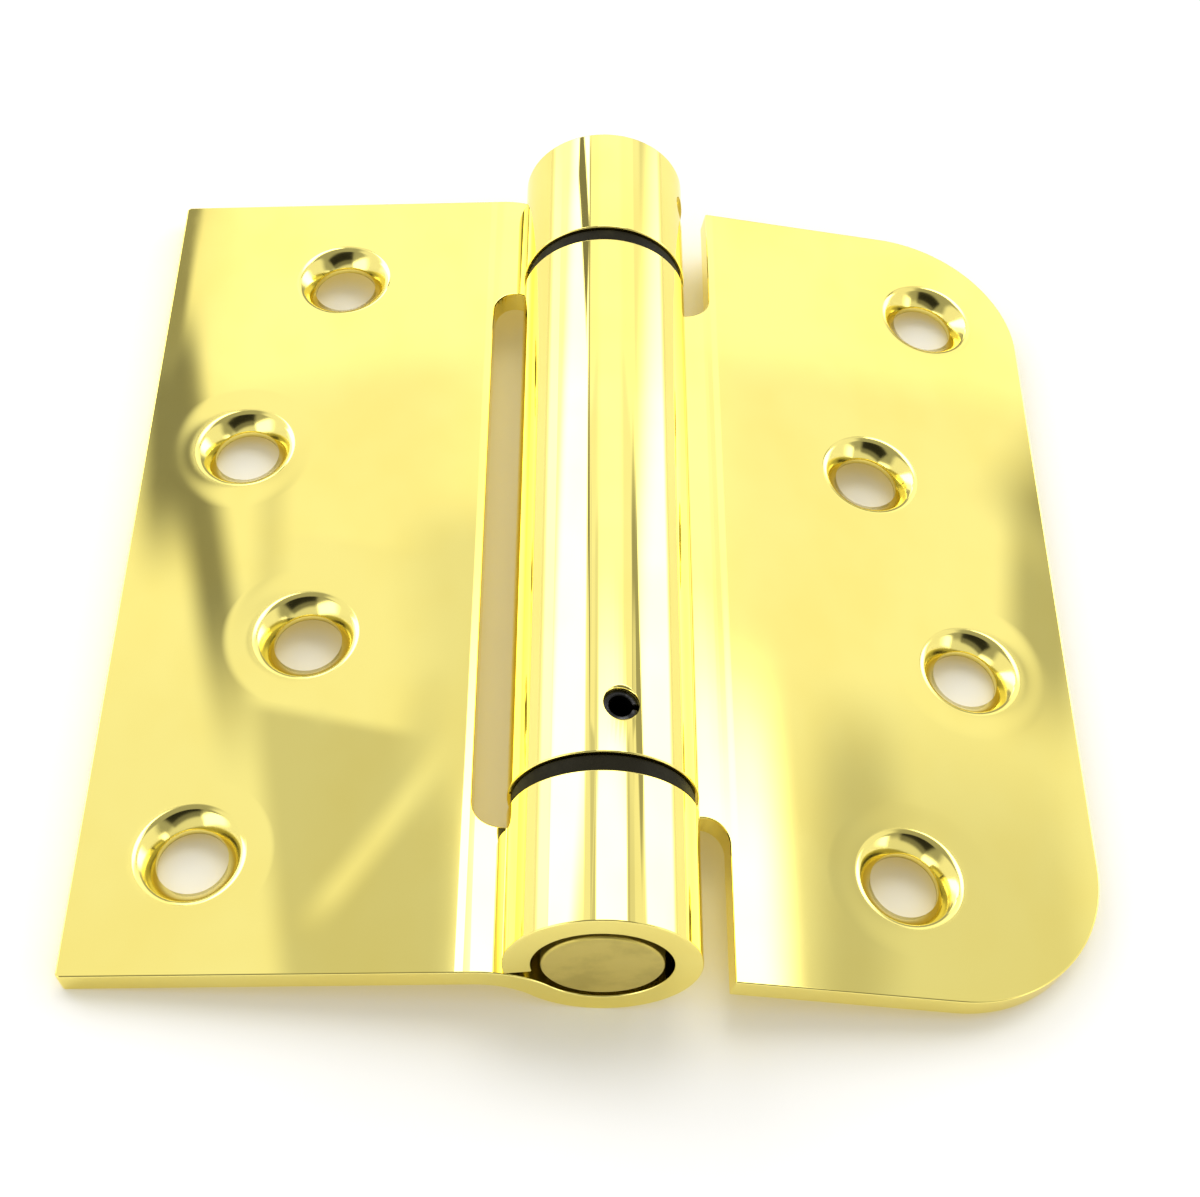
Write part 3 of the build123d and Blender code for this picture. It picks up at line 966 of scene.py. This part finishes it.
@dataclass(frozen=True)
class AnchorPin:
    """Slotted spring pin that holds the anchor plug in the middle knuckle.

    Attributes:
        place: Place along the barrel.
        radius: Outside radius.
        wall: Thickness of its rolled wall.
        slot: Width of its slot.
        length: Length.
        recess: How far it is set below the knuckle's surface.
        steps: Steps round it.
        edge_width: Width of the rounding of its edges.
    """

    place: float
    radius: float = 1.7
    wall: float = 0.55
    slot: float = 0.6
    length: float = 12.0
    recess: float = 0.6
    steps: int = 48
    edge_width: float = 0.12

    def build(self, finish: bpy.types.Material, droop: float) -> bpy.types.Object:
        """Make the pin, which leans by the right leaf's droop."""
        half = degrees(self.slot / 2 / self.radius)
        top = BARREL_RADIUS - self.recess
        bm = bmesh.new()
        start = [polar(radius, half) for radius in (self.radius - self.wall, self.radius)]
        points = [bm.verts.new((x * MM, y * MM, top * MM)) for x, y in start]
        spun(bm, points + [bm.edges.new(points)], (0, 0, top), (0, 0, 1), 360 - 2 * half, self.steps)
        extruded(bm, bm.faces[:], (0, 0, -self.length))
        cleaned(bm)
        softened(bm, sharp_edges(bm, CORNER), self.edge_width, 2)
        lean = Matrix.Rotation(radians(droop), 4, "Y")
        bm.transform(lean @ Matrix.Translation(Vector((0, self.place, 0)) * MM))
        piece = made("anchor_spring_pin", bm)
        return dressed(piece, finish, "round_side", "anchor_pin")


@dataclass(frozen=True)
class Plug:
    """What the two plugs share: a journal in a bearing, a head in the bore, and a spigot for the coil.

    Attributes:
        journal_radius: Radius of the journal.
        head_radius: Radius of the head.
        head_face: Distance from mid-length to the head's outer face.
        spigot_length: Length of the spigot past the head.
        spigot_clearance: Clearance of the spigot inside the coil.
        edge_width: Width of the rounding of its edges.
        coil: The spring that it holds.
    """

    journal_radius: float = 5.74
    head_radius: float = 6.55
    head_face: float = 33.45
    spigot_length: float = 8.0
    spigot_clearance: float = 0.35
    edge_width: float = 0.28
    coil: Coil = field(default_factory=Coil)

    def blank(self, side: int, end: float) -> BMesh:
        """Turn the plug's blank, from the end of its journal to the end of its spigot."""
        seat = abs(self.coil.seats[0] if side < 0 else self.coil.seats[1])
        spigot = self.coil.radius - self.coil.wire[0] / 2 - self.spigot_clearance
        profile = [(0.0, end), (self.journal_radius, end), (self.journal_radius, self.head_face)]
        profile += [(self.head_radius, self.head_face), (self.head_radius, seat), (spigot, seat)]
        profile += [(spigot, seat - self.spigot_length), (0.0, seat - self.spigot_length)]
        bm = turned([(radius, place * side) for radius, place in profile], ROUND_STEPS)
        softened(bm, sharp_edges(bm, CORNER), self.edge_width)
        return bm


@dataclass(frozen=True)
class AnchorPlug(Plug):
    """Plug pinned in the middle knuckle, whose end shows in the bottom knuckle.

    Attributes:
        pin_clearance: Clearance round its pin.
    """

    pin_clearance: float = 0.01

    def build(self, finish: bpy.types.Material, pin: AnchorPin, droop: float) -> bpy.types.Object:
        """Make the plug, drilled for its pin, which leans by the right leaf's droop."""
        piece = made("anchor_end_plug", self.blank(-1, HALF_LENGTH))
        x, z = sin(radians(droop)), cos(radians(droop))
        hole = drilled(pin.radius + self.pin_clearance, 4 * BARREL_RADIUS, (0, pin.place, 0), (x, 0, z))
        cut(piece, [self.coil.slot(-1), hole])
        return dressed(piece, finish, "round_side", "anchor_plug")


@dataclass(frozen=True)
class AdjustingPlug(Plug):
    """Plug that winds the spring, with a hex socket in its end and pin sockets behind the window.

    Attributes:
        recess: How far its end is set into the top knuckle.
        hex_width: Width of the hex socket across flats.
        hex_depth: Depth of the hex socket.
        sockets: Number of pin sockets.
        socket_radius: Radius of a pin socket.
        socket_depth: Depth of a pin socket.
    """

    recess: float = 0.6
    hex_width: float = 4.76
    hex_depth: float = 6.0
    sockets: int = 6
    socket_radius: float = 1.6
    socket_depth: float = 2.2

    def build(self, finish: bpy.types.Material, window_place: float) -> bpy.types.Object:
        """Make the plug, with its pin sockets at the window's place."""
        end = HALF_LENGTH - self.recess
        piece = made("adjusting_end_plug", self.blank(1, end))
        key = bar(self.hex_width / 2 / cos(pi / 6), 2 * self.hex_depth, 6)
        key.transform(upright((0, end, 0)))
        tools = [key, self.coil.slot(1)]
        for index in range(self.sockets):
            x, z = polar(1.0, index * 360 / self.sockets)
            centre = (x * self.journal_radius, window_place, z * self.journal_radius)
            tools.append(drilled(self.socket_radius, 2 * self.socket_depth, centre, (x, 0, z)))
        cut(piece, tools)
        return dressed(piece, finish, "adjuster", "adjusting_plug")


@dataclass(frozen=True)
class Panel:
    """Soft-edged flat patch of the light tent, brighter or darker than its cloth.

    A panel faces the hinge. Its extents are tangents: distances across and up it, in units of its
    own distance. On the ceiling, up is towards the bottom end of the barrel.

    Attributes:
        heading: Direction that it hangs in, from the top end of the barrel towards the right leaf.
        height: Angle of the direction above the floor: 90 on the ceiling.
        across: Its left and right extent.
        up: Its low and high extent.
        blur: Width of its soft edges, across and up.
        strength: Brightness, where 1 is white cloth.
        lean: Turn of the patch about its direction.
    """

    heading: float
    height: float
    across: Pair
    up: Pair
    blur: Pair
    strength: float
    lean: float = 0.0

    def reaches(self, side: int, ahead: int) -> bool:
        """Whether a corner of the patch, or what lies between two, is in a quarter of the tent."""
        (left, right), (low, high) = self.across, self.up
        across, up = (right - left + self.blur[0]) / 2, (high - low + self.blur[1]) / 2
        middle = Vector(((left + right) / 2, 1.0, (low + high) / 2))
        lean = Matrix.Rotation(radians(-self.lean), 3, "Y")
        turn = Matrix.Rotation(radians(self.height), 3, "X")
        if self.height < 90:
            turn = Matrix.Rotation(radians(-self.heading), 3, "Z") @ turn
        spans = [Vector((across * x, 0.0, up * z)) for x in (-1, 1) for z in (-1, 1)]
        corners = [turn @ (middle + lean @ span) for span in spans]
        sideways, onward = ([corner[axis] for corner in corners] for axis in (0, 1))
        return max(x * side for x in sideways) > 0 and max(y * ahead for y in onward) > 0

    def tangents(self, nodes: Nodes, direction: Socket) -> tuple[Socket, ...]:
        """Where a direction meets the panel's plane.

        Args:
            nodes: Builder of the world's nodes.
            direction: Direction that is looked at.

        Returns:
            The place across the panel, the place up it, and 1 in front of the panel or 0 behind it.
        """
        if self.height < 90:
            direction = nodes.rotated(direction, self.heading, "Z_AXIS")
        direction = nodes.rotated(direction, -self.height, "X_AXIS")
        split = nodes.add("SeparateXYZ", {"Vector": direction}).outputs
        ahead = nodes.math("MAXIMUM", split["Y"], 0.001)
        across, up = (nodes.math("DIVIDE", split[axis], ahead) for axis in ("X", "Z"))
        return across, up, nodes.smooth(split["Y"], 0.0, 0.1)

    def mask(self, nodes: Nodes, tangents: tuple[Socket, ...]) -> Socket:
        """Mask that is 1 on the patch and 0 off it.

        Args:
            nodes: Builder of the world's nodes.
            tangents: Where the direction that is looked at meets the panel's plane.

        Returns:
            The mask.
        """
        across, up, mask = tangents
        across = nodes.math("SUBTRACT", across, sum(self.across) / 2)
        up = nodes.math("SUBTRACT", up, sum(self.up) / 2)
        if self.lean:
            c, s = cos(radians(self.lean)), sin(radians(self.lean))
            turned = nodes.math("MULTIPLY_ADD", across, c, nodes.math("MULTIPLY", up, s))
            up = nodes.math("MULTIPLY_ADD", up, c, nodes.math("MULTIPLY", across, -s))
            across = turned
        for value, extent, blur in zip((across, up), (self.across, self.up), self.blur):
            half = (extent[1] - extent[0]) / 2
            edge = nodes.smooth(nodes.math("ABSOLUTE", value), half + blur / 2, half - blur / 2)
            mask = nodes.math("MULTIPLY", mask, edge)
        return mask


@dataclass(frozen=True)
class Studio:
    """Pale floor inside a soft light tent.

    Attributes:
        cloth: Brightness of the tent's cloth, where 1 is white.
        panels: Patches of the tent that are brighter or darker.
        floor_colour: Colour of the floor.
        painted_bounce_colour: Painted bounce light and shade: warm colour painted on the floor, and into its
            glow, where the brass closes it in, standing for the light that the brass throws.
        painted_bounce_reach: How near the brass has to be for that, in millimetres.
        painted_bounce_span: Openness of the floor between which that colour fades out.
        painted_bounce_samples: Rays that feel for the brass.
        floor_glow: Share of the floor's own white that the camera sees.
        floor_size: Half the floor's width, in metres.
        horizon: Rise of a reflected ray between which the far background fades into the tent.
    """

    cloth: float = 0.4
    panels: tuple[Panel, ...] = ()
    floor_colour: Colour = (0.98, 0.97, 0.94, 1.0)
    # Painted bounce light and shade on the floor, laid by ambient occlusion
    painted_bounce_colour: Colour = (0.98, 0.84, 0.27, 1.0)
    painted_bounce_reach: float = 15.0
    painted_bounce_span: Pair = (0.08, 0.65)
    painted_bounce_samples: int = 2
    floor_glow: float = 0.23
    floor_size: float = 3.0
    horizon: Pair = (0.12, 0.02)

    def quarter(self, nodes: Nodes, direction: Socket, side: int, ahead: int) -> Socket:
        """Shader of one quarter of the tent, with the panels that reach into it.

        Args:
            nodes: Builder of the world's nodes.
            direction: Direction that is looked at.
            side: 1 to the right of the barrel and -1 to its left.
            ahead: 1 beyond the barrel's middle and -1 on the camera's side of it.

        Returns:
            The shader's output.
        """
        strength: float | Socket = self.cloth
        planes: dict[Pair, tuple[Socket, ...]] = {}
        for panel in self.panels:
            if not panel.reaches(side, ahead):
                continue
            plane = (panel.heading, panel.height)
            if plane not in planes:
                planes[plane] = panel.tangents(nodes, direction)
            inputs = {"Factor": panel.mask(nodes, planes[plane]), "A": strength, "B": panel.strength}
            strength = nodes.add("Mix", inputs).outputs["Result"]
        return nodes.add("Background", {"Color": WHITE, "Strength": strength}).outputs[0]

    def tent(self) -> None:
        """Make the world: white to the camera, and the tent to everything that it lights."""
        world = bpy.data.worlds.new("light_tent")
        world.use_nodes = True
        bpy.context.scene.world = world
        nodes = Nodes(world.node_tree)
        direction = nodes.add("TexCoord").outputs["Generated"]
        split = nodes.add("SeparateXYZ", {"Vector": direction}).outputs
        right, front = (nodes.math("GREATER_THAN", split[axis], 0.0) for axis in ("X", "Y"))
        halves = [
            nodes.mixed(right, *(self.quarter(nodes, direction, side, ahead) for side in (-1, 1)))
            for ahead in (-1, 1)
        ]
        lit = nodes.mixed(front, *halves)
        white = nodes.add("Background", {"Color": WHITE, "Strength": 1.0})
        path = nodes.add("LightPath").outputs
        glossy = nodes.math("MULTIPLY", path["Is Glossy Ray"], nodes.smooth(split["Z"], *self.horizon))
        seen = nodes.greatest(path["Is Camera Ray"], path["Is Transmission Ray"], glossy)
        nodes.add("OutputWorld", {"Surface": nodes.mixed(seen, lit, white.outputs[0])})

    def floor(self, height: float) -> bpy.types.Object:
        """Lay the floor at a height, in metres."""
        bm = bmesh.new()
        bmesh.ops.create_grid(bm, x_segments=1, y_segments=1, size=self.floor_size)
        bmesh.ops.translate(bm, verts=bm.verts[:], vec=(0, 0, height))
        floor = made("floor", bm)
        finish, nodes = material("pale_floor")
        # Painted bounce light and shade: where ambient occlusion finds the brass near, the floor's colour and
        # its glow are painted in the brass's warm colour
        reach = {"Distance": self.painted_bounce_reach * MM}
        open_share = nodes.add("AmbientOcclusion", reach, samples=self.painted_bounce_samples).outputs["AO"]
        painted_bounce_fade = nodes.smooth(open_share, *self.painted_bounce_span)
        tint, glow_with_painted_bounce = (nodes.blended(painted_bounce_fade, self.painted_bounce_colour, far) for far in (self.floor_colour, WHITE))
        cloth = nodes.add("BsdfDiffuse", {"Color": tint})
        glow = nodes.add("Emission", {"Color": glow_with_painted_bounce, "Strength": 1.0})
        path = nodes.add("LightPath").outputs
        seen = nodes.greatest(path["Is Camera Ray"], path["Is Glossy Ray"], path["Is Transmission Ray"])
        share = nodes.math("MULTIPLY", seen, self.floor_glow)
        nodes.add("OutputMaterial", {"Surface": nodes.mixed(share, cloth.outputs[0], glow.outputs[0])})
        floor.data.materials.append(finish)
        return floor


@dataclass(frozen=True)
class PhotoCamera:
    """Camera at the photograph's place.

    Attributes:
        target: Point that it looks at, in millimetres.
        distance: Distance from that point, in millimetres.
        elevation: Angle above the floor.
        heading: Angle of its place from the bottom end of the barrel towards the right leaf.
        roll: Turn of the picture.
        focal_length: Focal length in pixels of the photograph's width.
        sensor_width: Width of the sensor, in millimetres.
        nearest: Least distance that it sees, in metres.
    """

    target: Triple = (-0.34, -9.49, 0.0)
    distance: float = 206.79
    elevation: float = 54.18
    heading: float = -6.27
    roll: float = 7.89
    focal_length: float = 2001.2
    sensor_width: float = 36.0
    nearest: float = 0.01

    def build(self) -> bpy.types.Object:
        """Make the camera and make it the scene's own."""
        data = bpy.data.cameras.new("photo_camera")
        data.sensor_fit = "HORIZONTAL"
        data.sensor_width = self.sensor_width
        data.lens = self.focal_length / PHOTO_WIDTH * self.sensor_width
        data.clip_start = self.nearest
        level, rise = radians(self.heading), radians(self.elevation)
        back = Vector((sin(level) * cos(rise), -cos(level) * cos(rise), sin(rise)))
        across = (-back).cross(Vector((0, 0, 1))).normalized()
        up = across.cross(-back)
        turn = radians(self.roll)
        right, top = across * cos(turn) + up * sin(turn), up * cos(turn) - across * sin(turn)
        camera = bpy.data.objects.new("photo_camera", data)
        bpy.context.scene.collection.objects.link(camera)
        place = Matrix((right, top, back)).transposed().to_4x4()
        place.translation = (Vector(self.target) + back * self.distance) * MM
        camera.matrix_world = place
        bpy.context.scene.camera = camera
        return camera


def ceiling(across: Pair, up: Pair, blur: Pair, strength: float, lean: float = 0.0) -> Panel:
    """Panel on the tent's ceiling."""
    return Panel(0, 90, across, up, blur, strength, lean)


# Heading and height of those that aren't on the ceiling, then extents across and up, blur and strength
TENT_PANELS = (
    # Pale cloth behind the camera, and the dim room over it with its darkest part
    Panel(180, 13, (-1.3, 1.3), (-0.35, 0.3), (0.5, 0.25), 0.85),
    Panel(180, 44, (-0.56, 0.52), (-0.34, 0.2), (0.16, 0.1), 0.2),
    Panel(180, 44, (-0.5, 0.46), (-0.16, 0.17), (0.1, 0.08), 0.02),
    # Low lamp boxes behind the camera's two sides
    Panel(-115, 15, (-0.65, 0.3), (-0.2, 0.25), (0.15, 0.15), 2.5),
    Panel(103, 14, (-0.45, 0.45), (-0.2, 0.22), (0.15, 0.15), 2.5),
    # White cloth down the two sides
    Panel(-72, 22, (-0.7, 0.8), (-0.4, 0.8), (0.4, 0.3), 1.0),
    Panel(75, 22, (-0.8, 0.7), (-0.4, 0.8), (0.4, 0.3), 1.0),
    Panel(-54, 8, (-0.25, 0.25), (-0.3, 0.3), (0.3, 0.4), 2.4),
    # White ceiling in front, brighter where it is far
    ceiling((-1.3, 1.15), (-2.2, -0.3), (0.3, 0.3), 1.02),
    ceiling((-1.3, 1.15), (-2.2, -0.7), (0.3, 0.16), 1.1),
    ceiling((-0.46, 0.8), (-2.0, -0.97), (0.06, 0.05), 1.28, lean=-4),
    # Lamp box overhead, and the ceiling that it lights
    ceiling((-0.2, 0.36), (-1.5, -0.6), (0.16, 0.2), 1.45),
    ceiling((-0.215, 0.425), (-0.66, -0.2), (0.035, 0.2), 4.0),
    # Dim stretches of the ceiling beside the lamp box
    ceiling((-0.328, -0.25), (-0.7, -0.3), (0.02, 0.02), 0.7, lean=-11),
    ceiling((-0.3, -0.225), (-0.68, -0.3), (0.03, 0.02), 0.7, lean=-2),
    ceiling((-0.276, -0.262), (-0.645, -0.505), (0.018, 0.04), 1.0, lean=34),
    ceiling((-0.37, -0.24), (-0.78, -0.65), (0.04, 0.012), 1.05, lean=16),
    ceiling((-0.26, -0.19), (-0.8, -0.59), (0.05, 0.06), 0.92, lean=-6),
    ceiling((-0.372, -0.354), (-0.86, -0.72), (0.02, 0.06), 0.9, lean=-5),
    ceiling((0.45, 0.63), (-0.66, -0.3), (0.04, 0.16), 0.83),
    ceiling((0.445, 0.49), (-0.68, -0.3), (0.04, 0.1), 0.64, lean=6),
    ceiling((0.61, 0.66), (-0.88, -0.72), (0.03, 0.1), 0.55, lean=8),
    # Tall windows to the left and the right, and the dark frames beside them
    ceiling((-2.6, -0.49), (-2.3, -0.62), (0.05, 0.2), 4.0),
    ceiling((-2.7, -0.48), (-3.2, -1.75), (0.05, 0.8), 1.7),
    ceiling((-0.75, -0.64), (-1.6, -1.02), (0.03, 0.1), 0.25, lean=-42),
    ceiling((-0.428, -0.403), (-0.98, -0.67), (0.02, 0.16), 0.3, lean=-14),
    ceiling((-0.465, -0.425), (-0.99, -0.8), (0.025, 0.1), 0.27, lean=-8),
    ceiling((-0.475, -0.449), (-1.25, -0.95), (0.008, 0.05), 0.35),
    Panel(49, 20, (-0.1, 0.34), (-0.42, 0.33), (0.26, 0.06), 4.0),
    Panel(42, 40.5, (-0.1, 0.12), (-0.04, 0.04), (0.05, 0.03), 0.4),
)


def main() -> None:
    """Build the hinge, its finishes, the studio and the camera."""
    logging.basicConfig(level=logging.INFO, format="%(name)s: %(message)s")
    square, rounded = SquareLeaf(), RoundLeaf()
    bright = BrightBrass(holes=rounded.hole_centres).build()
    dull, nylon = DULL_BRASS.build(), BLACK_NYLON.build()
    square.build(bright)
    rounded.build(bright)
    for name, node, side in (("bottom_bearing", "lower_bearing", -1), ("top_bearing", "upper_bearing", 1)):
        Bearing(name, node, side).build(nylon)
    pin = AnchorPin(place=rounded.pin_place)
    pin.build(BLACK_STEEL.build(), rounded.droop)
    AnchorPlug().build(dull, pin, rounded.droop)
    AdjustingPlug().build(dull, square.window_place)
    Coil().build(SPRING_STEEL.build())

    studio = Studio(panels=TENT_PANELS)
    studio.tent()
    studio.floor(-BARREL_RADIUS * MM)
    PhotoCamera().build()
    bpy.context.scene.view_settings.view_transform = "Standard"


if __name__ == "__main__":
    main()
